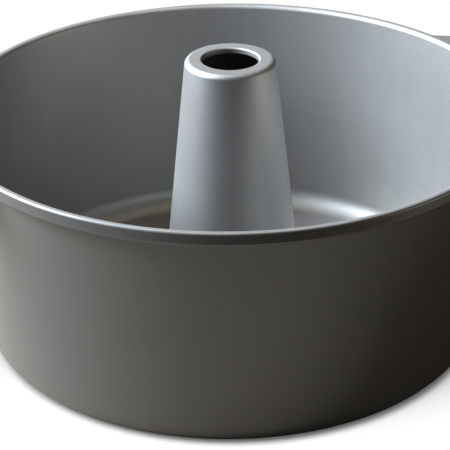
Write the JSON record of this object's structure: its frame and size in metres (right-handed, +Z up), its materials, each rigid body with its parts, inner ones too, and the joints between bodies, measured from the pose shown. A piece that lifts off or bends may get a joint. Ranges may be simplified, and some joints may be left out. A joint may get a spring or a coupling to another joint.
{
  "type": "angel food cake pan",
  "caption": "Round deep cake pan with a rolled rim, wide side handles and a loose base that carries a tall tapered hollow tube.",
  "frame": {"origin": "centre of the ring that the pan stands on, on the table's surface", "axes": "+Z up along the tube's axis, handles along +X and -X"},
  "size_m": [0.298, 0.254, 0.1275],
  "materials": {
    "wall_coat": "satin charcoal non-stick coat outside, silver-grey coat inside, on steel sheet",
    "plate_coat": "satin silver-grey non-stick coat above, charcoal coat below, on steel sheet",
    "tube_coat": "satin silver-grey non-stick coat outside, charcoal coat in its hollow, on steel sheet"
  },
  "bodies": {
    "pan": {"pan_wall": "wall_coat"},
    "base": {"base_plate": "plate_coat", "centre_tube": "tube_coat"}
  },
  "joints": [
    {"name": "base_lift", "type": "slide", "parent": "pan", "child": "base", "axis": [0, 0, 1], "range_m": [0, 0.13]}
  ]
}
